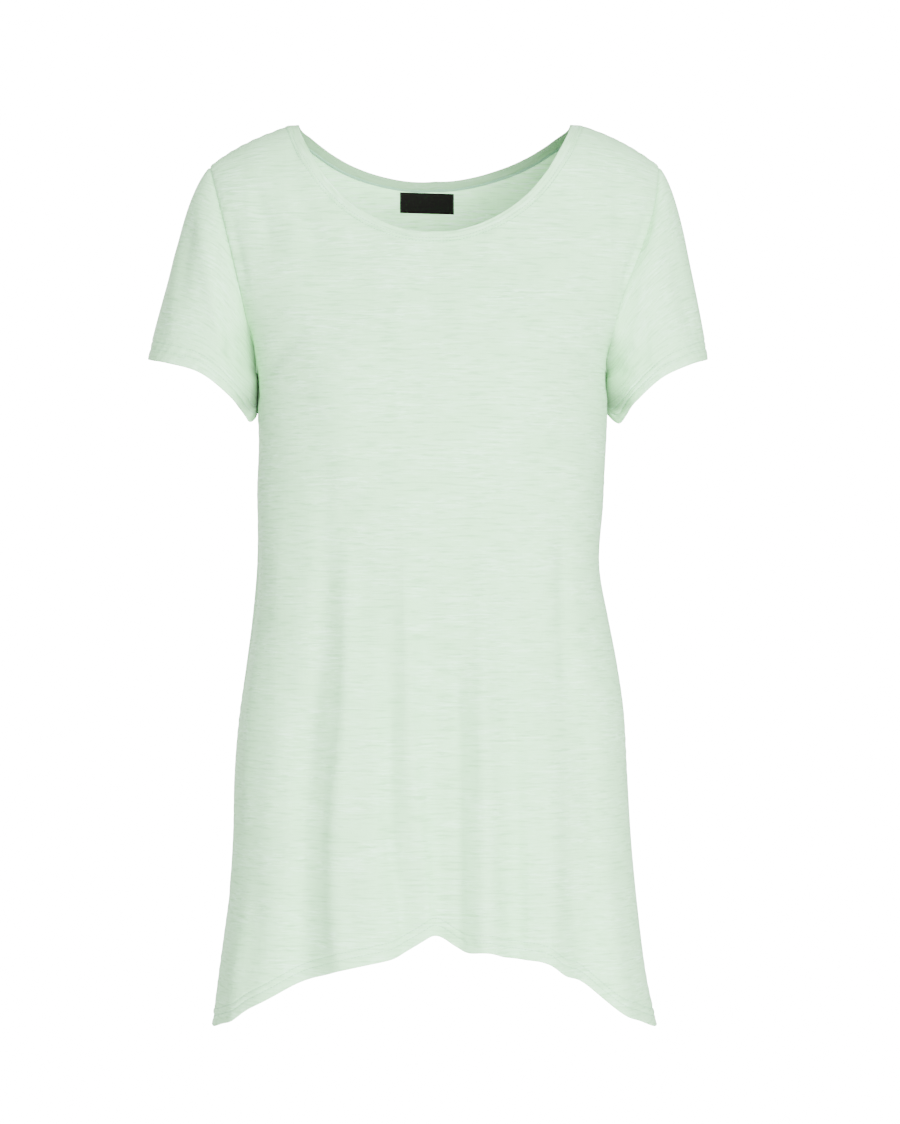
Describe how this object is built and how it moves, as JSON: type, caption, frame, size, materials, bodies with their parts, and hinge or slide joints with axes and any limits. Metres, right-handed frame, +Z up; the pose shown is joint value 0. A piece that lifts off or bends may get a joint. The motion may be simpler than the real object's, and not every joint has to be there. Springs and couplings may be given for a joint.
{
  "type": "t-shirt",
  "caption": "Short-sleeved tunic t-shirt in slub jersey, with a wide scoop neck, a narrow neck band and a hem dipping to points at the sides, filled out and hollow.",
  "frame": {"origin": "where the wearer's shoulders hold it: on the centre line, level with the middles of the two shoulder seams", "axes": "+Z up, -Y towards the front, +X towards the right side of the garment as seen from the front"},
  "size_m": [0.4875, 0.2453, 0.7839],
  "materials": {
    "slub_jersey": "matt slub jersey, pale mint",
    "label_weave": "woven, black"
  },
  "bodies": {
    "root": {"front": "slub_jersey", "back": "slub_jersey", "sleeve_left": "slub_jersey", "sleeve_right": "slub_jersey", "neck_band": "slub_jersey", "label": "label_weave"}
  },
  "joints": []
}
